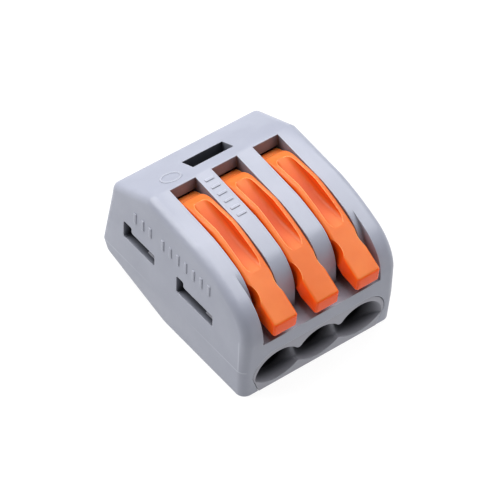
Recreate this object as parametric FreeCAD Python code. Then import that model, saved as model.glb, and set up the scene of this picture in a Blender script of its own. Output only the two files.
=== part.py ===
"""Three-pole lever wire connector.

Millimetres. +X runs across the poles, -Y is the front with the wire entries and +Z is up.
The origin is the bottom centre of the bounding box. The levers are modelled closed.
"""

import FreeCAD, Part
import math
import os

from FreeCAD import Vector

# Overall size and pole layout.
PITCH = 4.8
POLES = {"left": -PITCH, "middle": 0.0, "right": PITCH}
RIB_CENTRES = (-PITCH / 2, PITCH / 2)
BODY_WIDTH = 18.0
PARTING_HEIGHT = 3.54
TOP_HALF_WIDTH = 8.6
BOTTOM_HALF_WIDTH = 8.85
FIT_GAP = 0.06
FAR = 40.0

# Side outline of the housing, as (y, z).
FRONT_FOOT = (-10.42, 0.0)
FRONT_ARC_START = (-11.02, 7.2)
FRONT_ARC_RADIUS = 4.85
BROW_SLOPE = 28.0
BROW_END = (-2.57, 13.55)
BROW_SAGITTA = 0.24
ROOF_FOLD = (4.51, 14.24)
ROOF_BACK = (10.41, 11.63)
BACK_WIDEST = (11.82, PARTING_HEIGHT)
BACK_HEEL = (11.23, 2.13)
BOTTOM_BREAK = (2.98, 0.0)
ROOF_CORNER_RADIUS = 0.8
HEEL_RADIUS = 0.7
FOOT_RADIUS = 0.35

# Radius of the rounded rim where the sides meet the outline: wider in front, tighter behind.
FRONT_RIM_RADIUS = 0.95
BROW_RIM_RADIUS = 0.9
FOLD_RIM_RADIUS = 0.9
ROOF_RIM_RADIUS = 0.8
BACK_RIM_RADIUS = 0.45

# Walls and hollows of the housing.
INNER_HALF_WIDTH = 7.75
BACK_WALL = 1.35
CAVITY_ROOF = 8.9
BAY_HALF_WIDTH = 1.48
BAY_BACK = 4.23
CAM_POCKET_FRONT = -0.17
CAM_POCKET_BACK = 5.58
CAM_POCKET_ROOF = 12.75
LEDGE_HEIGHT = 6.66
LEDGE_HALF_WIDTH = 6.86
RIB_NOSE_CENTRE = (-4.3, 8.58)
RIB_NOSE_RADIUS = 4.4
RIB_NOSE_START = 116.0
ENTRY_BLOCK_BACK = -5.57
REAR_POCKET_SIDE = 3.6
REAR_POCKET_BACK = 8.23
ROOF_THICKNESS = 1.4
TEST_SLOT_HALF_WIDTH = 2.37
TEST_SLOT_Y = (5.91, 7.78)

# Arched opening in the front of the housing, as (x, z) of its right half.
ARCH_TOP = 4.95
ARCH_SHOULDER = 5.05
ARCH_BEND = (7.07, 4.12)
ARCH_SIDE = (7.78, 2.2)
ARCH_FOOT = 7.0
BELOW_GROUND = 1.0

# Snap windows: L-shaped openings in both side walls, as the (y, z) ranges of the L and where its
# upright leg starts. A hook of the insert rests in the front end of each.
SNAP_WINDOWS = (
    {"y": (3.28, 8.3), "z": (6.45, 8.5), "leg_front": 7.0},
    {"y": (-5.9, -0.2), "z": (6.05, 8.1), "leg_front": -1.3},
)
WINDOW_HEIGHT = 1.4
WINDOW_CORNER_RADIUS = 0.25
HOOK_SETBACK = 0.6
HOOK_LENGTH = 1.2
HOOK_HEIGHT = 0.8
HOOK_ROOT = 7.4
HOOK_TIP = 8.35

# Base insert.
INSERT_FACE = (-10.46, -10.75)
FLOOR_THICKNESS = 0.67
SIDE_PLATE_INSIDE = 6.75
SIDE_PLATE_TOP = 8.75
SIDE_PLATE_Y = (-5.37, 8.73)
PARTITION_HALF_WIDTH = 0.5
PARTITION_TOP = 8.7
POST_HALF_DEPTH = 0.85
POST_FOOT = 8.1
POST_TOP = 10.6
SIDE_POST_INSIDE = 6.4

# Wire entries: the mouth is a wide low circle with a dished floor, and narrows to the bore.
BORE_RADIUS = 1.85
BORE_HEIGHT = 2.55
MOUTH_RADIUS = 2.75
MOUTH_HEIGHT = 1.65
MOUTH_FLOOR = 0.5
MOUTH_FLOOR_RADIUS = 3.6
MOUTH_Y = -10.75
FUNNEL_END = -8.77
LEAD_LENGTH = 2.0
BORE_OVERRUN = 0.5
RIDGE_RADIUS = 0.4

# Levers.
PIVOT = (1.08, 11.0)
TRUNNION_RADIUS = 0.9
TRUNNION_HALF_LENGTH = 2.2
TRUNNION_GAP = 0.05
TRUNNION_SLOT_HALF_WIDTH = 7.3
LEVER_HALF_WIDTH = 1.35
BARREL_RADIUS = 2.95
HUB_RADIUS = 2.2
CAM_RADIUS = 2.4
CAM_THROW = 1.8
CAM_ANGLE = -15.0
CREST_END = (-2.17, 13.95)
SHOULDER_END = (-7.27, 12.0)
SHOULDER_SAGITTA = 0.18
NOSE_TOP = (-11.82, 9.45)
NOSE_TIP = (-11.62, 7.75)
NOSE_HEEL = (-9.37, 8.1)
ARM_UNDERSIDE = (-5.77, 10.8)
EDGE_RADIUS = 0.3
TROUGH_HALF_WIDTH = 0.85
TROUGH_BACK = (1.73, 13.9)
TROUGH_MIDDLE = (-1.57, 12.75)
TROUGH_LOW = (-4.77, 12.25)
TROUGH_END = (-7.12, 12.08)
TROUGH_CORNER_RADIUS = 0.5
NOTCH_CENTRE = (-8.77, 11.2)
NOTCH_RADIUS = 2.2
NOTCH_DEPTH = 0.3
NOTCH_REACH = 4.0

# Current bar and clamp springs.
BAR_BOTTOM = 4.95
BAR_THICKNESS = 0.6
BAR_Y = (2.33, 7.53)
BAR_HALF_LENGTH = 6.4
TONGUE_HALF_WIDTH = 1.25
TONGUE_FRONT = -4.57
SPRING_THICKNESS = 0.3
SPRING_HALF_WIDTH = 1.62
SPRING_WINDOW_HALF_WIDTH = 1.33
SPRING_TOP = 7.9
SPRING_LOOP_Y = 3.03
SPRING_FOOT_FRONT = -1.57
SPRING_SHOULDER_Y = -1.27
SPRING_LEG_Y = -2.77
SPRING_LEG_TOP = 6.6
SPRING_LEG_FOOT = 4.4
SPRING_WINDOW_Z = (4.85, 6.4)


def yz(y, z, x=0.0):
    return Vector(x, y, z)


def xz(x, z, y=0.0):
    return Vector(x, y, z)


def closed_face(point, start, steps):
    """A face bounded by lines and arcs. A step is a point, or a pair (middle, end) for an arc."""
    edges = []
    here = point(*start)
    for step in steps + [start]:
        if isinstance(step[0], tuple):
            middle, end = point(*step[0]), point(*step[1])
            edges.append(Part.Arc(here, middle, end).toShape())
        else:
            end = point(*step)
            edges.append(Part.LineSegment(here, end).toShape())
        here = end
    return Part.Face(Part.Wire(edges))


def across(start, steps, x_low, x_high):
    """A (y, z) outline extruded along X."""
    face = closed_face(yz, start, steps)
    face.translate(Vector(x_low, 0, 0))
    return face.extrude(Vector(x_high - x_low, 0, 0))


def along(start, steps, y_low, y_high):
    """An (x, z) outline extruded along Y."""
    face = closed_face(xz, start, steps)
    face.translate(Vector(0, y_low, 0))
    return face.extrude(Vector(0, y_high - y_low, 0))


def block(x, y, z):
    """A box from three (low, high) pairs."""
    return Part.makeBox(x[1] - x[0], y[1] - y[0], z[1] - z[0], Vector(x[0], y[0], z[0]))


def rod_across(radius, y, z, x_low, x_high):
    return Part.makeCylinder(radius, x_high - x_low, Vector(x_low, y, z), Vector(1, 0, 0))


def on_circle(centre, radius, degrees):
    """A (y, z) point on a circle. 0 degrees is the back, 90 the top."""
    angle = math.radians(degrees)
    return (centre[0] + radius * math.cos(angle), centre[1] + radius * math.sin(angle))


def bowed(a, b, sagitta):
    """The middle point of an arc from a to b that rises sagitta to the left of its chord."""
    dy, dz = b[0] - a[0], b[1] - a[1]
    length = math.hypot(dy, dz)
    return ((a[0] + b[0]) / 2 - dz / length * sagitta, (a[1] + b[1]) / 2 + dy / length * sagitta)


def side_outline():
    """Start point and steps of the housing's side outline."""
    centre = (FRONT_ARC_START[0] + FRONT_ARC_RADIUS, FRONT_ARC_START[1])
    arc_end = on_circle(centre, FRONT_ARC_RADIUS, 90 + BROW_SLOPE)
    arc_middle = on_circle(centre, FRONT_ARC_RADIUS, 135 + BROW_SLOPE / 2)
    steps = [
        FRONT_ARC_START,
        (arc_middle, arc_end),
        (bowed(arc_end, BROW_END, BROW_SAGITTA), BROW_END),
        ROOF_FOLD,
        ROOF_BACK,
        BACK_WIDEST,
        BACK_HEEL,
        BOTTOM_BREAK,
    ]
    return FRONT_FOOT, steps


def runs_across(edge, y, z):
    """True for an edge along X through the outline point (y, z)."""
    return all(math.hypot(v.Point.y - y, v.Point.z - z) < 0.01 for v in edge.Vertexes)


def rim_radius(point):
    """Rim radius at one corner of the side outline."""
    y, z = point.y, point.z
    if z < PARTING_HEIGHT - 0.1 and y > 0:
        return FOOT_RADIUS if z < 0.1 else BACK_RIM_RADIUS
    if y > BACK_WIDEST[0] - 0.1:
        return BACK_RIM_RADIUS
    if y > ROOF_BACK[0] - 0.1:
        return ROOF_RIM_RADIUS
    if y > ROOF_FOLD[0] - 0.1:
        return FOLD_RIM_RADIUS
    return BROW_RIM_RADIUS if y > BROW_END[0] - 0.1 else FRONT_RIM_RADIUS


def edge_radii(edge):
    """Fillet radii at the two ends of an edge of the plain body, or None for an edge that stays sharp."""
    first, last = (edge.valueAt(t) for t in (edge.FirstParameter, edge.LastParameter))
    if runs_across(edge, *ROOF_BACK):
        return ROOF_CORNER_RADIUS, ROOF_CORNER_RADIUS
    if runs_across(edge, *BACK_HEEL):
        return HEEL_RADIUS, HEEL_RADIUS
    on_one_side = first.x * last.x > 0 and abs(first.x) > TOP_HALF_WIDTH - 0.1
    on_parting_line = all(abs(p.z - PARTING_HEIGHT) < 0.01 for p in (first, last))
    on_ground = max(first.z, last.z) < 0.01
    if not on_one_side or on_parting_line or on_ground:
        return None
    return rim_radius(first), rim_radius(last)


def filleted(shape, radii_of):
    """The shape with every edge rounded for which radii_of gives a pair of radii."""
    document = FreeCAD.newDocument("fillet")
    plain = document.addObject("Part::Feature", "plain")
    plain.Shape = shape
    rounded = document.addObject("Part::Fillet", "rounded")
    rounded.Base = plain
    radii = [radii_of(edge) for edge in shape.Edges]
    rounded.Edges = [(number, *pair) for number, pair in enumerate(radii, 1) if pair]
    document.recompute()
    result = rounded.Shape.copy()
    FreeCAD.closeDocument("fillet")
    return result


def outer_body():
    """The housing's solid outside form: side outline, drafted sides and rounded rims."""
    start, steps = side_outline()
    body = across(start, steps, -FAR, FAR)
    top = ROOF_FOLD[1] + 0.01
    half = BODY_WIDTH / 2
    section = [
        (half, PARTING_HEIGHT),
        (TOP_HALF_WIDTH, top),
        (-TOP_HALF_WIDTH, top),
        (-half, PARTING_HEIGHT),
        (-BOTTOM_HALF_WIDTH, 0.0),
    ]
    body = body.common(along((BOTTOM_HALF_WIDTH, 0.0), section, -FAR, FAR))
    return filleted(body.removeSplitter(), edge_radii)


def back_wall_inside(z):
    """Where the inside of the leaning back wall is at height z, above the parting line."""
    lean = (BACK_WIDEST[0] - ROOF_BACK[0]) / (ROOF_BACK[1] - PARTING_HEIGHT)
    return BACK_WIDEST[0] - BACK_WALL - (z - PARTING_HEIGHT) * lean


def cavity():
    """The wide hollow below the levers, open at the bottom."""
    back = back_wall_inside(PARTING_HEIGHT)
    outline = [
        (ENTRY_BLOCK_BACK, CAVITY_ROOF),
        (back_wall_inside(CAVITY_ROOF), CAVITY_ROOF),
        (back, PARTING_HEIGHT),
        (back, -BELOW_GROUND),
    ]
    return across((ENTRY_BLOCK_BACK, -BELOW_GROUND), outline, -INNER_HALF_WIDTH, INNER_HALF_WIDTH)


def under_roof(y):
    """The inside of the sloping rear roof, as a (y, z) point at y."""
    fall = (ROOF_FOLD[1] - ROOF_BACK[1]) / (ROOF_BACK[0] - ROOF_FOLD[0])
    return (y, ROOF_FOLD[1] - (y - ROOF_FOLD[0]) * fall - ROOF_THICKNESS)


def rear_pocket(x_low, x_high):
    """A coring pocket under the rear roof, beside the test slot."""
    outline = [
        under_roof(CAM_POCKET_BACK),
        under_roof(REAR_POCKET_BACK),
        (back_wall_inside(CAVITY_ROOF), CAVITY_ROOF),
    ]
    return across((CAM_POCKET_BACK, CAVITY_ROOF), outline, x_low, x_high)


def lever_bay(centre):
    """The slot that one lever lies in, with the undercut its cam needs at the back."""
    x = (centre - BAY_HALF_WIDTH, centre + BAY_HALF_WIDTH)
    slot = block(x, (ENTRY_BLOCK_BACK, BAY_BACK), (CAVITY_ROOF, FAR))
    front = block(x, (-FAR, ENTRY_BLOCK_BACK), (LEDGE_HEIGHT, FAR))
    pocket = block(x, (CAM_POCKET_FRONT, CAM_POCKET_BACK), (CAVITY_ROOF, CAM_POCKET_ROOF))
    return slot.fuse([front, pocket])


def ledge_pocket():
    """The space under the lever noses, which the ribs reach with a round front end."""
    rib_top = on_circle(RIB_NOSE_CENTRE, RIB_NOSE_RADIUS, RIB_NOSE_START)
    rib_bend = on_circle(RIB_NOSE_CENTRE, RIB_NOSE_RADIUS, (RIB_NOSE_START + 180) / 2)
    rib_front = on_circle(RIB_NOSE_CENTRE, RIB_NOSE_RADIUS, 180)
    outline = [
        (-FAR, FAR),
        (rib_top[0], FAR),
        rib_top,
        (rib_bend, rib_front),
        (rib_front[0], LEDGE_HEIGHT),
    ]
    return across((-FAR, LEDGE_HEIGHT), outline, -LEDGE_HALF_WIDTH, LEDGE_HALF_WIDTH)


def test_slot():
    """The opening in the rear roof that a test probe goes through."""
    x = (-TEST_SLOT_HALF_WIDTH, TEST_SLOT_HALF_WIDTH)
    return block(x, TEST_SLOT_Y, (CAVITY_ROOF, FAR))


def arch(y_low, y_high, gap):
    """The arched front opening, or with a gap the insert's front that fills it."""
    foot, side, bend = ARCH_FOOT - gap, ARCH_SIDE[0] - gap, ARCH_BEND[0] - gap
    top, bend_height = ARCH_TOP - gap, ARCH_BEND[1] - gap
    steps = [
        (foot, 0.0),
        (side, ARCH_SIDE[1]),
        ((bend, bend_height), (ARCH_SHOULDER, top)),
        (-ARCH_SHOULDER, top),
        ((-bend, bend_height), (-side, ARCH_SIDE[1])),
        (-foot, 0.0),
        (-foot, -BELOW_GROUND),
    ]
    return along((foot, -BELOW_GROUND), steps, y_low, y_high)


def trunnion_slots():
    """Slots in the ribs and side walls, open below, that the lever trunnions snap up into."""
    y, z = PIVOT
    radius = TRUNNION_RADIUS + TRUNNION_GAP
    x = (-TRUNNION_SLOT_HALF_WIDTH, TRUNNION_SLOT_HALF_WIDTH)
    return block(x, (y - radius, y + radius), (0.0, z)).fuse(rod_across(radius, y, z, *x))


def snap_windows():
    """The L-shaped openings in both side walls, with round corners."""
    cuts = []
    for window in SNAP_WINDOWS:
        y_low, y_high = window["y"]
        z_low, z_high = window["z"]
        leg, shelf = window["leg_front"], z_low + WINDOW_HEIGHT
        outline = [(y_high, z_low), (y_high, z_high), (leg, z_high), (leg, shelf), (y_low, shelf)]
        for side in (-1, 1):
            x = sorted((side * LEDGE_HALF_WIDTH, side * FAR))
            opening = across((y_low, z_low), outline, *x)
            corners = [edge for edge in opening.Edges if edge.BoundBox.XLength > LEDGE_HALF_WIDTH]
            cuts.append(opening.makeFillet(WINDOW_CORNER_RADIUS, corners))
    return cuts


def housing_shell():
    cuts = [cavity(), ledge_pocket(), test_slot(), trunnion_slots()]
    cuts.append(arch(-FAR, ENTRY_BLOCK_BACK, 0.0))
    cuts.append(rear_pocket(-INNER_HALF_WIDTH, -REAR_POCKET_SIDE))
    cuts.append(rear_pocket(REAR_POCKET_SIDE, INNER_HALF_WIDTH))
    cuts += [lever_bay(centre) for centre in POLES.values()]
    cuts += snap_windows()
    return outer_body().cut(cuts).removeSplitter()


def rod_along(radius, x, z, y_low, y_high):
    return Part.makeCylinder(radius, y_high - y_low, Vector(x, y_low, z), Vector(0, 1, 0))


def ring_across(radius, x, y, z):
    """A circle that faces along Y and starts at its top."""
    ring = Part.Wire(Part.makeCircle(radius, Vector(x, y, z), Vector(0, 1, 0)))
    ring.rotate(Vector(x, y, z), Vector(0, 1, 0), -90)
    return ring


def wire_entry(centre):
    """One funnel and bore, from in front of the insert to its inside."""
    mouth = ring_across(MOUTH_RADIUS, centre, MOUTH_Y, MOUTH_HEIGHT)
    throat = ring_across(BORE_RADIUS, centre, FUNNEL_END, BORE_HEIGHT)
    funnel = Part.makeLoft([mouth, throat], True, True)
    lead = rod_along(MOUTH_RADIUS, centre, MOUTH_HEIGHT, MOUTH_Y - LEAD_LENGTH, MOUTH_Y)
    above_floor = rod_along(MOUTH_FLOOR_RADIUS, centre, MOUTH_FLOOR + MOUTH_FLOOR_RADIUS, -FAR, FAR)
    bore = rod_along(BORE_RADIUS, centre, BORE_HEIGHT, FUNNEL_END, ENTRY_BLOCK_BACK + BORE_OVERRUN)
    return funnel.fuse(lead).common(above_floor).fuse(bore)


def is_ridge(edge):
    """True for an edge where two neighbouring funnels meet."""
    stations = (edge.FirstParameter, (edge.FirstParameter + edge.LastParameter) / 2, edge.LastParameter)
    return all(abs(abs(edge.valueAt(t).x) - PITCH / 2) < 0.01 for t in stations)


def entry_block():
    """The insert's solid front, which closes the arch, with the three wire entries."""
    front = arch(-FAR, ENTRY_BLOCK_BACK + FIT_GAP, FIT_GAP)
    foot, head = INSERT_FACE
    front = front.common(across((foot, 0.0), [(head, ARCH_TOP), (0.0, ARCH_TOP), (0.0, 0.0)], -FAR, FAR))
    front = front.cut([wire_entry(centre) for centre in POLES.values()]).removeSplitter()
    return front.makeFillet(RIDGE_RADIUS, [edge for edge in front.Edges if is_ridge(edge)])


def floor_underside(y):
    """Height of the floor's underside at y: flat in front and rising to the heel behind."""
    rise = BACK_HEEL[1] / (BACK_HEEL[0] - BOTTOM_BREAK[0])
    return max(0.0, (y - BOTTOM_BREAK[0]) * rise)


def floor_plate():
    half = INNER_HALF_WIDTH - FIT_GAP
    front = ENTRY_BLOCK_BACK + FIT_GAP
    back = back_wall_inside(PARTING_HEIGHT) - FIT_GAP
    outline = [
        BOTTOM_BREAK,
        (back, floor_underside(back)),
        (back, floor_underside(back) + FLOOR_THICKNESS),
        (BOTTOM_BREAK[0], FLOOR_THICKNESS),
        (front, FLOOR_THICKNESS),
    ]
    return across((front, 0.0), outline, -half, half)


def upright(x_low, x_high, top):
    """A wall of the insert, rooted halfway into its floor."""
    root = FLOOR_THICKNESS / 2
    low, high = SIDE_PLATE_Y
    outline = [(low, top), (high, top), (high, floor_underside(high) + root), (BOTTOM_BREAK[0], root)]
    return across((low, root), outline, x_low, x_high)


def snap_hooks(side):
    """The hooks of one side plate: flat below, where they rest in a window, and sloping above."""
    hooks = []
    for window in SNAP_WINDOWS:
        front = window["y"][0] + HOOK_SETBACK
        foot = window["z"][0] + FIT_GAP
        steps = [(side * HOOK_TIP, foot), (side * HOOK_ROOT, foot + HOOK_HEIGHT)]
        hooks.append(along((side * HOOK_ROOT, foot), steps, front, front + HOOK_LENGTH))
    return hooks


def side_plate(side):
    """One side plate with its snap hooks."""
    x = sorted((side * SIDE_PLATE_INSIDE, side * (INNER_HALF_WIDTH - FIT_GAP)))
    return upright(x[0], x[1], SIDE_PLATE_TOP).fuse(snap_hooks(side))


def trunnion_post(x_low, x_high):
    """A post that closes a trunnion slot from below."""
    depth = (PIVOT[0] - POST_HALF_DEPTH, PIVOT[0] + POST_HALF_DEPTH)
    return block((x_low, x_high), depth, (POST_FOOT, POST_TOP))


def partition(centre):
    """A wall between two poles: tall in front, and low behind where the current bar rests on it."""
    x = (centre - PARTITION_HALF_WIDTH, centre + PARTITION_HALF_WIDTH)
    wall = upright(x[0], x[1], PARTITION_TOP)
    rest = block((-FAR, FAR), (BAR_Y[0] - FIT_GAP, FAR), (BAR_BOTTOM, FAR))
    return wall.cut(rest).fuse(trunnion_post(*x))


def base_insert():
    side_posts = (SIDE_POST_INSIDE, TRUNNION_SLOT_HALF_WIDTH - FIT_GAP)
    solids = [floor_plate(), trunnion_post(*side_posts), trunnion_post(-side_posts[1], -side_posts[0])]
    solids += [partition(centre) for centre in RIB_CENTRES]
    solids += [side_plate(side) for side in (-1, 1)]
    saddle = rod_across(TRUNNION_RADIUS + TRUNNION_GAP, *PIVOT, -FAR, FAR)
    return entry_block().fuse(solids).cut(saddle).removeSplitter()


def lever_outline():
    """Start point and steps of a closed lever's side outline."""
    steps = [
        (on_circle(PIVOT, BARREL_RADIUS, 45), (PIVOT[0], PIVOT[1] + BARREL_RADIUS)),
        CREST_END,
        (bowed(SHOULDER_END, CREST_END, SHOULDER_SAGITTA), SHOULDER_END),
        NOSE_TOP,
        NOSE_TIP,
        NOSE_HEEL,
        ARM_UNDERSIDE,
        (PIVOT[0] - HUB_RADIUS, PIVOT[1]),
    ]
    return (PIVOT[0] + BARREL_RADIUS, PIVOT[1]), steps


def is_soft_edge(edge):
    """True for the nose's front edges and the rims of a lever's sides, except what its hub hides."""
    first, last = (edge.valueAt(t) for t in (edge.FirstParameter, edge.LastParameter))
    runs_along_side = abs(first.x - last.x) < 0.01
    at_pivot_height = abs(first.z - PIVOT[1]) < 0.01 and abs(last.z - PIVOT[1]) < 0.01
    at_nose = runs_across(edge, *NOSE_TOP) or runs_across(edge, *NOSE_TIP)
    return at_nose or (runs_along_side and not at_pivot_height)


def is_trough_corner(edge):
    """True for the two long corners at the bottom of a lever's trough."""
    first, last = (edge.valueAt(t) for t in (edge.FirstParameter, edge.LastParameter))
    return abs(first.x - last.x) < 0.01 and max(first.z, last.z) < TROUGH_BACK[1] + 0.01


def trough(centre):
    """The recess along the top of a lever, shallow at the barrel and ramping out at the nose."""
    steps = [
        (TROUGH_MIDDLE, TROUGH_LOW),
        TROUGH_END,
        (TROUGH_END[0], FAR),
        (TROUGH_BACK[0], FAR),
    ]
    recess = across(TROUGH_BACK, steps, centre - TROUGH_HALF_WIDTH, centre + TROUGH_HALF_WIDTH)
    return recess.makeFillet(TROUGH_CORNER_RADIUS, [edge for edge in recess.Edges if is_trough_corner(edge)])


def notch(centre, side):
    """One of the two hollows that narrow a lever's neck, square to its top face."""
    fall = math.atan2(SHOULDER_END[1] - NOSE_TOP[1], SHOULDER_END[0] - NOSE_TOP[0])
    normal = Vector(0, -math.sin(fall), math.cos(fall))
    x = centre + side * (LEVER_HALF_WIDTH + NOTCH_RADIUS - NOTCH_DEPTH)
    base = Vector(x, *NOTCH_CENTRE) - normal * NOTCH_REACH
    return Part.makeCylinder(NOTCH_RADIUS, 2 * NOTCH_REACH, base, normal)


def lever(centre):
    """One lever with its barrel, cam and trunnions, closed."""
    x = (centre - LEVER_HALF_WIDTH, centre + LEVER_HALF_WIDTH)
    start, steps = lever_outline()
    arm = across(start, steps, *x)
    arm = arm.makeFillet(EDGE_RADIUS, [edge for edge in arm.Edges if is_soft_edge(edge)])
    hub = rod_across(HUB_RADIUS, *PIVOT, *x)
    cam = rod_across(CAM_RADIUS, *on_circle(PIVOT, CAM_THROW, CAM_ANGLE), *x)
    axle = rod_across(TRUNNION_RADIUS, *PIVOT, centre - TRUNNION_HALF_LENGTH, centre + TRUNNION_HALF_LENGTH)
    hollows = [trough(centre), notch(centre, -1), notch(centre, 1)]
    return arm.fuse([hub, cam, axle]).cut(hollows).removeSplitter()


def current_bar():
    """The bar across the three poles, with a tongue forward into each."""
    z = (BAR_BOTTOM, BAR_BOTTOM + BAR_THICKNESS)
    bar = block((-BAR_HALF_LENGTH, BAR_HALF_LENGTH), BAR_Y, z)
    for centre in POLES.values():
        x = (centre - TONGUE_HALF_WIDTH, centre + TONGUE_HALF_WIDTH)
        bar = bar.fuse(block(x, (TONGUE_FRONT, BAR_Y[0] + 1.0), z))
    return bar.removeSplitter()


def clamp_spring(centre):
    """One cage-clamp spring: a strip on the tongue, looped back over itself, with a window in front."""
    t = SPRING_THICKNESS
    foot = BAR_BOTTOM + BAR_THICKNESS + FIT_GAP
    radius = (SPRING_TOP - foot) / 2
    loop = (SPRING_LOOP_Y, foot + radius)
    leg = SPRING_LEG_Y
    outline = [
        (SPRING_LOOP_Y, foot),
        (on_circle(loop, radius, 0), (SPRING_LOOP_Y, SPRING_TOP)),
        (SPRING_SHOULDER_Y, SPRING_TOP),
        (leg, SPRING_LEG_TOP),
        (leg, SPRING_LEG_FOOT),
        (leg + t, SPRING_LEG_FOOT),
        (leg + t, SPRING_LEG_TOP - t / 2),
        (SPRING_SHOULDER_Y + t / 2, SPRING_TOP - t),
        (SPRING_LOOP_Y, SPRING_TOP - t),
        (on_circle(loop, radius - t, 0), (SPRING_LOOP_Y, foot + t)),
        (SPRING_FOOT_FRONT, foot + t),
    ]
    x = (centre - SPRING_HALF_WIDTH, centre + SPRING_HALF_WIDTH)
    strip = across((SPRING_FOOT_FRONT, foot), outline, *x)
    window_x = (centre - SPRING_WINDOW_HALF_WIDTH, centre + SPRING_WINDOW_HALF_WIDTH)
    return strip.cut(block(window_x, (leg - t, leg + 2 * t), SPRING_WINDOW_Z))


def write(name, shape):
    shape.exportStep(os.path.join("parts", name + ".step"))
    box = shape.BoundBox
    print(name, len(shape.Solids), shape.isValid(), round(shape.Volume, 2), box)


os.makedirs("parts", exist_ok=True)
write("housing_shell", housing_shell())
write("base_insert", base_insert())
write("current_bar", current_bar())
for pole, place in POLES.items():
    write("lever_" + pole, lever(place))
    write("clamp_spring_" + pole, clamp_spring(place))
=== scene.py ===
"""Looks, light and camera for the three-pole lever wire connector. Metres, in the CAD frame."""

import math

import bmesh
import bpy
from mathutils import Matrix, Vector


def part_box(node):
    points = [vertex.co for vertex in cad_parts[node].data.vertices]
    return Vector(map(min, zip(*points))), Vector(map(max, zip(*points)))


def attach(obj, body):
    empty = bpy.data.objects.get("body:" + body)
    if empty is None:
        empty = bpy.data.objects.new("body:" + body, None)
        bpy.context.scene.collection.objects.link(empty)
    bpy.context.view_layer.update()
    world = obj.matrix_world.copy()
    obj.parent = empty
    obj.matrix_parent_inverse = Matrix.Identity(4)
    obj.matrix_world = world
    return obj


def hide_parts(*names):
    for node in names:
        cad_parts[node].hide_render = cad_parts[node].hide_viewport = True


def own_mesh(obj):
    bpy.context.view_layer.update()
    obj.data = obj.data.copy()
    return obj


POLES = ("left", "middle", "right")

# Camera: azimuth, elevation and roll in degrees, lens in millimetres, and how far the view's centre lies from
# the aim point.
AIM = Vector((0.0, 0.00108, 0.006))
AZIMUTH = -36.916
ELEVATION = 46.087
ROLL = 0.058
DISTANCE = 0.3
AIM_RIGHT = 0.00054
AIM_DOWN = 0.000699
LENS = 227.96
CLIP_START = 0.01

# Colours, linear.
HOUSING_LIGHT = (0.304, 0.318, 0.382, 1.0)
HOUSING_DARK = (0.276, 0.290, 0.352, 1.0)
HOUSING_EDGE_HIGHLIGHT = (0.46, 0.48, 0.55, 1.0)
HOUSING_PAINTED_SHADE = (0.035, 0.036, 0.044, 1.0)
HOUSING_LINE = (0.44, 0.46, 0.52, 1.0)
INSERT_LIGHT = (0.37, 0.372, 0.42, 1.0)
INSERT_DARK = (0.33, 0.332, 0.378, 1.0)
INSERT_EDGE_HIGHLIGHT = (0.44, 0.445, 0.50, 1.0)
INSERT_PAINTED_SHADE = (0.012, 0.012, 0.015, 1.0)
# The levers' base colours are paler than the orange itself: a painted sheen, as seen on their tops.
LEVER_SHEEN_LIGHT = (0.65, 0.165, 0.042, 1.0)
LEVER_SHEEN_DARK = (0.59, 0.130, 0.028, 1.0)
LEVER_EDGE_HIGHLIGHT = (1.0, 0.46, 0.17, 1.0)
LEVER_PAINTED_SHADE = (0.45, 0.020, 0.002, 1.0)
LEVER_SIDE_SHADE = (0.86, 0.092, 0.004, 1.0)
STEEL_LIGHT = (0.60, 0.60, 0.62, 1.0)
STEEL_DARK = (0.38, 0.38, 0.40, 1.0)
TIN_LIGHT = (0.30, 0.295, 0.285, 1.0)
TIN_DARK = (0.20, 0.195, 0.19, 1.0)
PAPER_LIGHT = (0.13, 0.13, 0.13, 1.0)
PAPER_DARK = (0.12, 0.12, 0.12, 1.0)
WHITE = (1.0, 1.0, 1.0, 1.0)

# How each plastic looks. Hollow shade is painted shade in slots and bores: how far around a place openness is
# felt, the openness where the painted shade is darkest, and the openness from which there is none.
HOUSING_FINISH = {
    "roughness": (0.34, 0.44),
    "grain": 0.3,
    "edge_radius": 0.00014,
    "hollow_shade": (0.004, 0.2, 0.85),
}
INSERT_FINISH = {
    "roughness": (0.40, 0.50),
    "grain": 0.3,
    "edge_radius": 0.00014,
    "hollow_shade": (0.003, 0.0, 0.4),
}
LEVER_FINISH = {
    "roughness": (0.20, 0.27),
    "grain": 0.06,
    "edge_radius": 0.00012,
    "hollow_shade": (0.0015, 0.35, 1.0),
}
HOUSING_SPECULAR = 0.5
INSERT_SPECULAR = 0.2
LEVER_SPECULAR = 0.15

# Procedural patterns, in features per metre: faint clouds, uneven gloss and fine grain on the plastics, drawn
# lines on the metals and fibres in the paper. The spreads are the parts of the noise's range that are used.
NOISE_DETAIL = 3.0
CLOUD_SCALE = 220.0
GLOSS_SCALE = 900.0
GRAIN_SCALE = 5200.0
GRAIN_DETAIL = 2.0
GRAIN_HEIGHT = 0.00002
LINE_SCALE = 2500.0
LINE_DETAIL = 4.0
LINE_HEIGHT = 0.00001
FIBRE_SCALE = 60.0
COLOUR_SPREAD = (0.35, 0.65)
VALUE_SPREAD = (0.3, 0.7)

# An edge gets a painted highlight where its rounded direction leaves the face's own, between these two
# cosines.
HIGHLIGHT_TURN = (0.995, 0.9)
BEVEL_SAMPLES = 6
OPENNESS_SAMPLES = 12

# The metals' lines run along the axes where the stretch is small: along the springs' strip and along the bar.
METAL_ROUGHNESS = (0.22, 0.42)
METAL_LINE_STRENGTH = 0.2
METAL_EDGE_RADIUS = 0.00005
SPRING_STRETCH = (1.0, 0.1, 0.1)
BAR_STRETCH = (0.1, 1.0, 1.0)

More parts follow.
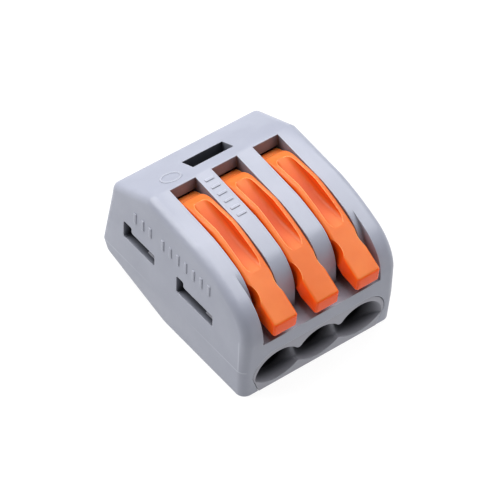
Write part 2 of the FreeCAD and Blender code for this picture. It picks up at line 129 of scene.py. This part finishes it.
# The levers' plastic lets a little light through. Faces turned away from its top, between these values of the
# upward part of their direction, get painted shade, a deeper and redder orange, but not inside the trough.
GLOW = 0.25
GLOW_SPREAD = (1.0, 0.25, 0.08)
GLOW_DEPTH = 0.0012
SIDE_SHADE_TURN = (0.75, 0.35)
TROUGH_REACH = 0.0015
TROUGH_OPENNESS = (0.65, 0.9)

# The wire entries get painted shade between these two depths, in y, where they are closed in.
ENTRY_SHADE = (-0.0104, -0.0088)
ENTRY_REACH = 0.008
ENTRY_OPENNESS = (0.9, 0.6)

# The insert's side plates get painted shade, which lightens outwards over its snap hooks between these
# distances from the middle. Below these heights there is no such painted shade.
PLATE_SHADE = (0.0083, 0.0078)
PLATE_SHADE_START = (0.0052, 0.0056)

# The reveals of the snap windows get painted shade, darker inwards. Their range ends at a height and at
# distances along Y.
REVEAL_SHADE = (0.0088, 0.0081)
REVEAL_TOP = (0.0087, 0.0086)
REVEAL_SPAN = (0.0012, 0.0075, 0.0073)

# Mould lines on the housing: the parting line, at a height, and a witness line, at a place along Y. Both
# show only on the sides, where they fade in between these distances from the middle. The parting line also
# fades in away from the middle of a side, and the witness line keeps within a distance of one height.
ON_SIDES = (0.0084, 0.0086)
LINE_HALF_WIDTH = 0.00008
PARTING_LINE = 0.00354
PARTING_FADE = (0.001, 0.002, 0.0085)
WITNESS_LINE = -0.00993
WITNESS_HEIGHT = (0.0055, 0.0021, 0.0017)

# How far apart the corners of neighbouring faces may lie to be joined, and the angle in degrees from which an
# edge stays sharp.
WELD_DISTANCE = 0.000002
SHARP_ANGLE = 32.0

# Clamp springs: where the foot's underside is, and a plane far below the blade.
SPRING_FOOT = 0.00561
SPRING_FAR_ANCHOR = -0.01

# Plain raised ticks on the sides and on one rib, and a plain ring on the roof.
SIDE_TICKS = (0.0064, 0.0052, 0.0040, 0.0020, 0.0008, -0.0004, -0.0016, -0.0028, -0.0040, -0.0052)
SIDE_TICK_HEIGHT = 0.0103
RIB_TICKS = (0.0033, 0.0023, 0.0013, 0.0003, -0.0007, -0.0017)
RIB_TICK_X = -0.0024
RING_CENTRE = (-0.0048, 0.0061)
RING_RADIUS = 0.0010
RING_SEGMENTS = 48
TICK_SIZE = (0.0006, 0.00016)
RIB_TICK_SIZE = (0.00045, 0.00013)
MARK_SLOPE = 0.00006
MARK_PROUD = 0.00009
MARK_ROOT = 0.00005

# How far out the rays that find the marks' places start.
BESIDE = 0.02
ABOVE = 0.03

# Studio: the floor is just below the connector, and each softbox has a place, a size and a power.
FLOOR_SIZE = 2.0
FLOOR_HEIGHT = -0.00002
FLOOR_GLOW = 0.9
FLOOR_ROUGHNESS = 0.9
FLOOR_SPECULAR = 0.1
SKY_STRENGTH = 0.08
SOFTBOXES = {
    "window": ((-0.16, 0.19, 0.26), 0.28, 1.3),
    "overhead": ((0.12, 0.03, 0.31), 0.42, 2.1),
}


def fresh_material(name):
    """A material with a principled shader wired to its output. Returns the material and the shader."""
    material = bpy.data.materials.new(name)
    material.use_nodes = True
    tree = material.node_tree
    tree.nodes.clear()
    shader = tree.nodes.new("ShaderNodeBsdfPrincipled")
    output = tree.nodes.new("ShaderNodeOutputMaterial")
    tree.links.new(shader.outputs["BSDF"], output.inputs["Surface"])
    return material, shader


def noise(tree, scale, detail=NOISE_DETAIL, stretch=None):
    """A noise texture in object space. Scale is features per metre."""
    coordinates = tree.nodes.new("ShaderNodeTexCoord")
    texture = tree.nodes.new("ShaderNodeTexNoise")
    texture.inputs["Scale"].default_value = scale
    texture.inputs["Detail"].default_value = detail
    source = coordinates.outputs["Object"]
    if stretch:
        mapping = tree.nodes.new("ShaderNodeMapping")
        mapping.inputs["Scale"].default_value = stretch
        tree.links.new(source, mapping.inputs["Vector"])
        source = mapping.outputs["Vector"]
    tree.links.new(source, texture.inputs["Vector"])
    return texture.outputs["Fac"]


def colour_between(tree, pattern, dark, light):
    """A colour that varies with a noise pattern."""
    ramp = tree.nodes.new("ShaderNodeValToRGB")
    for element, position, colour in zip(ramp.color_ramp.elements, COLOUR_SPREAD, (dark, light)):
        element.position = position
        element.color = colour
    tree.links.new(pattern, ramp.inputs["Fac"])
    return ramp.outputs["Color"]


def value_between(tree, pattern, low, high):
    """A value that varies with a noise pattern."""
    spread = tree.nodes.new("ShaderNodeMapRange")
    spread.inputs["From Min"].default_value = VALUE_SPREAD[0]
    spread.inputs["From Max"].default_value = VALUE_SPREAD[1]
    spread.inputs["To Min"].default_value = low
    spread.inputs["To Max"].default_value = high
    tree.links.new(pattern, spread.inputs["Value"])
    return spread.outputs["Result"]


def rounded(tree, radius):
    """The surface's direction with its edges softly rounded."""
    bevel = tree.nodes.new("ShaderNodeBevel")
    bevel.samples = BEVEL_SAMPLES
    bevel.inputs["Radius"].default_value = radius
    return bevel.outputs["Normal"]


def relief(tree, shader, pattern, height, strength, edge_radius):
    """Surface grain on top of softly rounded edges."""
    bump = tree.nodes.new("ShaderNodeBump")
    bump.inputs["Distance"].default_value = height
    bump.inputs["Strength"].default_value = strength
    tree.links.new(pattern, bump.inputs["Height"])
    tree.links.new(rounded(tree, edge_radius), bump.inputs["Normal"])
    tree.links.new(bump.outputs["Normal"], shader.inputs["Normal"])


def mixed(tree, factor, first, second):
    """Blends from one colour to another. Each is a socket or a plain colour."""
    mix = tree.nodes.new("ShaderNodeMix")
    mix.data_type = "RGBA"
    tree.links.new(factor, mix.inputs["Factor"])
    sockets = [socket for socket in mix.inputs if socket.type == "RGBA"]
    for socket, colour in zip(sockets, (first, second)):
        if isinstance(colour, tuple):
            socket.default_value = colour
        else:
            tree.links.new(colour, socket)
    return [socket for socket in mix.outputs if socket.type == "RGBA"][0]


def ramped(tree, value, start, end):
    """0 where value is at start and 1 where it is at end."""
    spread = tree.nodes.new("ShaderNodeMapRange")
    spread.inputs["From Min"].default_value = start
    spread.inputs["From Max"].default_value = end
    tree.links.new(value, spread.inputs["Value"])
    return spread.outputs["Result"]


def openness(tree, distance):
    """1 on open faces, falling to 0 deep in slots and bores of the same piece."""
    occlusion = tree.nodes.new("ShaderNodeAmbientOcclusion")
    occlusion.samples = OPENNESS_SAMPLES
    occlusion.only_local = True
    occlusion.inputs["Distance"].default_value = distance
    return occlusion.outputs["AO"]


def edge_highlight(tree, radius):
    """1 along the edges, where the painted highlight goes, and 0 on the faces."""
    surface = tree.nodes.new("ShaderNodeNewGeometry")
    turned = tree.nodes.new("ShaderNodeVectorMath")
    turned.operation = "DOT_PRODUCT"
    tree.links.new(rounded(tree, radius), turned.inputs[0])
    tree.links.new(surface.outputs["Normal"], turned.inputs[1])
    return ramped(tree, turned.outputs["Value"], *HIGHLIGHT_TURN)


def moulded_plastic(name, colours, roughness, grain, edge_radius, hollow_shade):
    """Moulded plastic: faint clouds, a fine grain, uneven gloss, painted highlights along the edges and
    painted shade in hollows.
    """
    material, shader = fresh_material(name)
    tree = material.node_tree
    dark, light, highlight, shade_colour = colours
    face = colour_between(tree, noise(tree, CLOUD_SCALE), dark, light)
    # Painted highlight: a lighter colour along the edges.
    face = mixed(tree, edge_highlight(tree, edge_radius), face, highlight)
    # Painted shade: the colour darkens deep in the piece's own slots and bores.
    face = mixed(tree, ramped(tree, openness(tree, hollow_shade[0]), hollow_shade[1], hollow_shade[2]), shade_colour, face)
    tree.links.new(face, shader.inputs["Base Color"])
    gloss = value_between(tree, noise(tree, GLOSS_SCALE), *roughness)
    tree.links.new(gloss, shader.inputs["Roughness"])
    relief(tree, shader, noise(tree, GRAIN_SCALE, GRAIN_DETAIL), GRAIN_HEIGHT, grain, edge_radius)
    return material, shader


def along_axis(tree, axis):
    """The position along one axis of the CAD frame, in metres."""
    coordinates = tree.nodes.new("ShaderNodeTexCoord")
    split = tree.nodes.new("ShaderNodeSeparateXYZ")
    tree.links.new(coordinates.outputs["Object"], split.inputs["Vector"])
    return split.outputs[axis]


def axis_ramp(tree, axis, start, end):
    """0 at start and 1 at end along one axis."""
    return ramped(tree, along_axis(tree, axis), start, end)


def away_ramp(tree, axis, place, start, end):
    """0 at the distance start from a place on one axis and 1 at the distance end, on both sides of it."""
    offset = tree.nodes.new("ShaderNodeMath")
    offset.operation = "SUBTRACT"
    tree.links.new(along_axis(tree, axis), offset.inputs[0])
    offset.inputs[1].default_value = place
    distance = tree.nodes.new("ShaderNodeMath")
    distance.operation = "ABSOLUTE"
    tree.links.new(offset.outputs["Value"], distance.inputs[0])
    return ramped(tree, distance.outputs["Value"], start, end)


def product(tree, *factors):
    """All the factors multiplied together."""
    result = factors[0]
    for factor in factors[1:]:
        times = tree.nodes.new("ShaderNodeMath")
        times.operation = "MULTIPLY"
        tree.links.new(result, times.inputs[0])
        tree.links.new(factor, times.inputs[1])
        result = times.outputs["Value"]
    return result


def blend_in(tree, shader, factor, colour):
    """Lays a colour over what the shader's base colour is so far."""
    face = shader.inputs["Base Color"].links[0].from_socket
    tree.links.new(mixed(tree, factor, face, colour), shader.inputs["Base Color"])


def housing_plastic():
    """The shell's plastic, with painted shade in its slots and window reveals, the parting line on its sides
    and a tool's witness line near the front.
    """
    colours = (HOUSING_DARK, HOUSING_LIGHT, HOUSING_EDGE_HIGHLIGHT, HOUSING_PAINTED_SHADE)
    material, shader = moulded_plastic("housing_plastic", colours, **HOUSING_FINISH)
    shader.inputs["Specular IOR Level"].default_value = HOUSING_SPECULAR
    tree = material.node_tree
    on_sides = away_ramp(tree, "X", 0.0, *ON_SIDES)
    parting = away_ramp(tree, "Z", PARTING_LINE, LINE_HALF_WIDTH, 0.0)
    near_ends = away_ramp(tree, "Y", *PARTING_FADE)
    witness = away_ramp(tree, "Y", WITNESS_LINE, LINE_HALF_WIDTH, 0.0)
    upper_part = away_ramp(tree, "Z", *WITNESS_HEIGHT)
    inward = away_ramp(tree, "X", 0.0, *REVEAL_SHADE)
    window_height = axis_ramp(tree, "Z", *REVEAL_TOP)
    window_span = away_ramp(tree, "Y", *REVEAL_SPAN)
    # Painted shade in the snap windows' reveals.
    blend_in(tree, shader, product(tree, inward, window_height, window_span), HOUSING_PAINTED_SHADE)
    blend_in(tree, shader, product(tree, on_sides, parting, near_ends), HOUSING_LINE)
    blend_in(tree, shader, product(tree, on_sides, witness, upper_part), HOUSING_LINE)
    return material


def insert_plastic():
    """The insert's own plastic, with painted shade deep in its wire entries and on the plates behind the snap
    windows.
    """
    colours = (INSERT_DARK, INSERT_LIGHT, INSERT_EDGE_HIGHLIGHT, INSERT_PAINTED_SHADE)
    material, shader = moulded_plastic("insert_plastic", colours, **INSERT_FINISH)
    shader.inputs["Specular IOR Level"].default_value = INSERT_SPECULAR
    tree = material.node_tree
    closed_in = ramped(tree, openness(tree, ENTRY_REACH), *ENTRY_OPENNESS)
    deep_in = axis_ramp(tree, "Y", *ENTRY_SHADE)
    behind_windows = away_ramp(tree, "X", 0.0, *PLATE_SHADE)
    above_entries = axis_ramp(tree, "Z", *PLATE_SHADE_START)
    # Painted shade deep in the wire entries.
    blend_in(tree, shader, product(tree, closed_in, deep_in), INSERT_PAINTED_SHADE)
    # Painted shade on the side plates behind the snap windows.
    blend_in(tree, shader, product(tree, behind_windows, above_entries), INSERT_PAINTED_SHADE)
    return material


def lever_plastic():
    """Slightly translucent glossy plastic, with a painted sheen in its base colours and painted shade on the
    sides and fronts.
    """
    colours = (LEVER_SHEEN_DARK, LEVER_SHEEN_LIGHT, LEVER_EDGE_HIGHLIGHT, LEVER_PAINTED_SHADE)
    material, shader = moulded_plastic("lever_plastic", colours, **LEVER_FINISH)
    shader.inputs["Specular IOR Level"].default_value = LEVER_SPECULAR
    shader.inputs["Subsurface Weight"].default_value = GLOW
    shader.inputs["Subsurface Radius"].default_value = GLOW_SPREAD
    shader.inputs["Subsurface Scale"].default_value = GLOW_DEPTH
    tree = material.node_tree
    coordinates = tree.nodes.new("ShaderNodeTexCoord")
    direction = tree.nodes.new("ShaderNodeSeparateXYZ")
    tree.links.new(coordinates.outputs["Normal"], direction.inputs["Vector"])
    shaded_sides = ramped(tree, direction.outputs["Z"], *SIDE_SHADE_TURN)
    outside_trough = ramped(tree, openness(tree, TROUGH_REACH), *TROUGH_OPENNESS)
    # Painted shade: sides and fronts turn a deeper, redder orange than the tops.
    blend_in(tree, shader, product(tree, shaded_sides, outside_trough), LEVER_SIDE_SHADE)
    return material


def drawn_metal(name, dark, light, stretch):
    """Rolled metal strip with fine lines along one direction."""
    material, shader = fresh_material(name)
    tree = material.node_tree
    lines = noise(tree, LINE_SCALE, LINE_DETAIL, stretch)
    tree.links.new(colour_between(tree, lines, dark, light), shader.inputs["Base Color"])
    tree.links.new(value_between(tree, lines, *METAL_ROUGHNESS), shader.inputs["Roughness"])
    shader.inputs["Metallic"].default_value = 1.0
    relief(tree, shader, lines, LINE_HEIGHT, METAL_LINE_STRENGTH, METAL_EDGE_RADIUS)
    return material


def floor_paper():
    """Seamless white studio paper, lit through from below so that it holds almost no shadow."""
    material, shader = fresh_material("floor_paper")
    tree = material.node_tree
    colour = colour_between(tree, noise(tree, FIBRE_SCALE), PAPER_DARK, PAPER_LIGHT)
    tree.links.new(colour, shader.inputs["Base Color"])
    shader.inputs["Roughness"].default_value = FLOOR_ROUGHNESS
    shader.inputs["Specular IOR Level"].default_value = FLOOR_SPECULAR
    shader.inputs["Emission Color"].default_value = WHITE
    shader.inputs["Emission Strength"].default_value = FLOOR_GLOW
    return material


def smooth_by_angle():
    """A modifier group that shades smoothly across every edge but the sharp ones."""
    group = bpy.data.node_groups.new("smooth_by_angle", "GeometryNodeTree")
    group.interface.new_socket("Geometry", in_out="INPUT", socket_type="NodeSocketGeometry")
    group.interface.new_socket("Geometry", in_out="OUTPUT", socket_type="NodeSocketGeometry")
    start = group.nodes.new("NodeGroupInput")
    end = group.nodes.new("NodeGroupOutput")
    drop = group.nodes.new("GeometryNodeRemoveAttribute")
    drop.inputs["Name"].default_value = "custom_normal"
    angle = group.nodes.new("GeometryNodeInputMeshEdgeAngle")
    soft = group.nodes.new("FunctionNodeCompare")
    soft.operation = "LESS_THAN"
    soft.inputs["B"].default_value = math.radians(SHARP_ANGLE)
    faces = group.nodes.new("GeometryNodeSetShadeSmooth")
    edges = group.nodes.new("GeometryNodeSetShadeSmooth")
    edges.domain = "EDGE"
    group.links.new(start.outputs["Geometry"], drop.inputs["Geometry"])
    group.links.new(drop.outputs["Geometry"], faces.inputs["Geometry"])
    group.links.new(faces.outputs["Geometry"], edges.inputs["Geometry"])
    group.links.new(angle.outputs["Unsigned Angle"], soft.inputs["A"])
    group.links.new(soft.outputs["Result"], edges.inputs["Shade Smooth"])
    group.links.new(edges.outputs["Geometry"], end.inputs["Geometry"])
    return group


def soften_all():
    """Joins the seams between each CAD node's faces and shades it smoothly."""
    group = smooth_by_angle()
    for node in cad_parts.values():
        weld = node.modifiers.new("weld", "WELD")
        weld.merge_threshold = WELD_DISTANCE
        node.modifiers.new("smooth", "NODES").node_group = group


def paint(node, material):
    """Gives a CAD node its material."""
    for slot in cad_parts[node].material_slots:
        slot.material = material


def new_piece(name, mesh, material):
    """Finishes a mesh as a piece that rides on the housing, and returns it."""
    bmesh.ops.recalc_face_normals(mesh, faces=mesh.faces)
    data = bpy.data.meshes.new(name)
    mesh.to_mesh(data)
    mesh.free()
    data.materials.append(material)
    piece = bpy.data.objects.new(name, data)
    bpy.context.collection.objects.link(piece)
    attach(piece, "housing")
    return piece


def spring_part(node, loop_y, behind):
    """The closed part of a spring's mesh behind or in front of the loop's start."""
    mesh = bmesh.new()
    mesh.from_mesh(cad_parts[node].data)
    bmesh.ops.remove_doubles(mesh, verts=mesh.verts, dist=WELD_DISTANCE)
    everything = mesh.verts[:] + mesh.edges[:] + mesh.faces[:]
    bmesh.ops.bisect_plane(
        mesh,
        geom=everything,
        plane_co=(0.0, loop_y, 0.0),
        plane_no=(0.0, 1.0, 0.0),
        clear_inner=behind,
        clear_outer=not behind,
    )
    bmesh.ops.holes_fill(mesh, edges=[edge for edge in mesh.edges if edge.is_boundary])
    return mesh


def keep_height(mesh, above, limit):
    """Keeps only the separate bodies of a mesh that lie above, or below, a height."""
    waiting = set(mesh.verts)
    unwanted = []
    while waiting:
        island = [waiting.pop()]
        for vertex in island:
            for edge in vertex.link_edges:
                other = edge.other_vert(vertex)
                if other in waiting:
                    waiting.remove(other)
                    island.append(other)
        reaches_above = max(vertex.co.z for vertex in island) > limit
        if reaches_above != above:
            unwanted += island
    bmesh.ops.delete(mesh, geom=unwanted, context="VERTS")
    return mesh


def clamp_spring(pole, material):
    """A spring in three pieces, which ride on the housing in place of the CAD node."""
    node = "clamp_spring_" + pole
    top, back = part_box(node)[1][2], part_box(node)[1][1]
    loop_y = back - (top - SPRING_FOOT) / 2
    middle = (SPRING_FOOT + top) / 2
    foot_mesh = keep_height(spring_part(node, loop_y, False), False, middle)
    blade_mesh = keep_height(spring_part(node, loop_y, False), True, middle)
    loop_mesh = spring_part(node, loop_y, True)
    foot = new_piece("spring_foot_" + pole, foot_mesh, material)
    blade = new_piece("spring_blade_" + pole, blade_mesh, material)
    loop = new_piece("spring_loop_" + pole, loop_mesh, material)
    for piece, anchor in ((loop, SPRING_FOOT), (blade, SPRING_FAR_ANCHOR)):
        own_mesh(piece)
    for piece in (foot, blade, loop):
        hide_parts(node)


def surface_frame(origin, direction, along):
    """A matrix on the housing's surface: X along the mark, Z out of the surface."""
    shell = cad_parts["housing_shell"]
    found, place, normal, _ = shell.ray_cast(Vector(origin), Vector(direction))
    if not found:
        raise RuntimeError("a mark misses the housing")
    side = normal.cross(Vector(along)).normalized()
    turn = Matrix((side.cross(normal), side, normal)).transposed().to_4x4()
    return Matrix.Translation(place) @ turn


def add_tick(mesh, place, size):
    """A raised bar with sloping sides, rooted in the surface. Size is half its length and half its width."""
    rings = []
    for grow, height in ((MARK_SLOPE, -MARK_ROOT), (0.0, MARK_PROUD)):
        a, b = size[0] + grow, size[1] + grow
        outline = ((-a, -b), (a, -b), (a, b), (-a, b))
        rings.append([mesh.verts.new(place @ Vector((x, y, height))) for x, y in outline])
    low, high = rings
    mesh.faces.new(low[::-1])
    mesh.faces.new(high)
    for i in range(4):
        mesh.faces.new((low[i], low[i - 3], high[i - 3], high[i]))


def side_ticks(side, name, material):
    """The ticks on one side wall. Side is -1 or 1."""
    mesh = bmesh.new()
    for y in SIDE_TICKS:
        place = surface_frame((side * BESIDE, y, SIDE_TICK_HEIGHT), (-side, 0.0, 0.0), (0.0, 0.0, 1.0))
        add_tick(mesh, place, TICK_SIZE)
    new_piece(name, mesh, material)


def rib_ticks(material):
    """The ticks on the rib beside the left lever."""
    mesh = bmesh.new()
    for y in RIB_TICKS:
        place = surface_frame((RIB_TICK_X, y, ABOVE), (0.0, 0.0, -1.0), (1.0, 0.0, 0.0))
        add_tick(mesh, place, RIB_TICK_SIZE)
    new_piece("rib_ticks", mesh, material)


def roof_ring(material):
    """A plain raised ring, as an ejector leaves."""
    place = surface_frame((*RING_CENTRE, ABOVE), (0.0, 0.0, -1.0), (1.0, 0.0, 0.0))
    half = TICK_SIZE[1] / 2
    section = (
        (RING_RADIUS - half - MARK_SLOPE, -MARK_ROOT),
        (RING_RADIUS - half, MARK_PROUD),
        (RING_RADIUS + half, MARK_PROUD),
        (RING_RADIUS + half + MARK_SLOPE, -MARK_ROOT),
    )
    mesh = bmesh.new()
    stations = []
    for i in range(RING_SEGMENTS):
        angle = 2 * math.pi * i / RING_SEGMENTS
        across, along = math.cos(angle), math.sin(angle)
        corners = [Vector((radius * across, radius * along, height)) for radius, height in section]
        stations.append([mesh.verts.new(place @ corner) for corner in corners])
    for i, station in enumerate(stations):
        before = stations[i - 1]
        for j in range(len(section)):
            mesh.faces.new((before[j - 1], before[j], station[j], station[j - 1]))
    new_piece("roof_ring", mesh, material)


def floor():
    """The paper that the connector stands on."""
    bpy.ops.mesh.primitive_plane_add(size=FLOOR_SIZE, location=(0.0, 0.0, FLOOR_HEIGHT))
    plane = bpy.context.object
    plane.name = "floor"
    plane.data.materials.append(floor_paper())


def softbox(name, location, size, power):
    """A square area light aimed at the connector."""
    data = bpy.data.lights.new(name, "AREA")
    data.shape = "SQUARE"
    data.size = size
    data.energy = power
    lamp = bpy.data.objects.new(name, data)
    lamp.location = location
    lamp.rotation_euler = (AIM - Vector(location)).to_track_quat("-Z", "Y").to_euler()
    bpy.context.collection.objects.link(lamp)


def studio():
    """A dim white surround, the softboxes and plain colour handling."""
    world = bpy.data.worlds.new("studio")
    world.use_nodes = True
    background = world.node_tree.nodes["Background"]
    background.inputs["Color"].default_value = WHITE
    background.inputs["Strength"].default_value = SKY_STRENGTH
    bpy.context.scene.world = world
    for name, settings in SOFTBOXES.items():
        softbox(name, *settings)
    bpy.context.scene.view_settings.view_transform = "Standard"


def camera():
    """The camera at the viewing angle, turned a little about its own axis."""
    azimuth, elevation = math.radians(AZIMUTH), math.radians(ELEVATION)
    back = Vector((
        math.sin(azimuth) * math.cos(elevation),
        -math.cos(azimuth) * math.cos(elevation),
        math.sin(elevation),
    ))
    right = Vector((math.cos(azimuth), math.sin(azimuth), 0.0))
    up = back.cross(right)
    data = bpy.data.cameras.new("camera")
    data.lens = LENS
    data.clip_start = CLIP_START
    eye = bpy.data.objects.new("camera", data)
    turn = Matrix((right, up, back)).transposed().to_4x4()
    place = AIM + right * AIM_RIGHT - up * AIM_DOWN + back * DISTANCE
    eye.matrix_world = Matrix.Translation(place) @ turn @ Matrix.Rotation(math.radians(ROLL), 4, "Z")
    bpy.context.collection.objects.link(eye)
    bpy.context.scene.camera = eye


def finish_nodes():
    """Materials of the CAD nodes, the springs that stand for theirs, and the moulded marks."""
    grey = housing_plastic()
    orange = lever_plastic()
    steel = drawn_metal("spring_steel", STEEL_DARK, STEEL_LIGHT, SPRING_STRETCH)
    paint("housing_shell", grey)
    paint("base_insert", insert_plastic())
    paint("current_bar", drawn_metal("bar_tin", TIN_DARK, TIN_LIGHT, BAR_STRETCH))
    for pole in POLES:
        paint("lever_" + pole, orange)
        paint("clamp_spring_" + pole, steel)
        clamp_spring(pole, steel)
    side_ticks(-1, "side_ticks_left", grey)
    side_ticks(1, "side_ticks_right", grey)
    rib_ticks(grey)
    roof_ring(grey)


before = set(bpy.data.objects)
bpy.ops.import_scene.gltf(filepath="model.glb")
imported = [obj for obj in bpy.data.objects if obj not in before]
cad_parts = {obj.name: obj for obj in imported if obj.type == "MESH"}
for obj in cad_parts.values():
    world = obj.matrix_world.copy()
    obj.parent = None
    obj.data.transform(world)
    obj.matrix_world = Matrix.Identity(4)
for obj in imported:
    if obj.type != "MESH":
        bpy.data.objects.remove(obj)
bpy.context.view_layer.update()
soften_all()
finish_nodes()
floor()
studio()
camera()
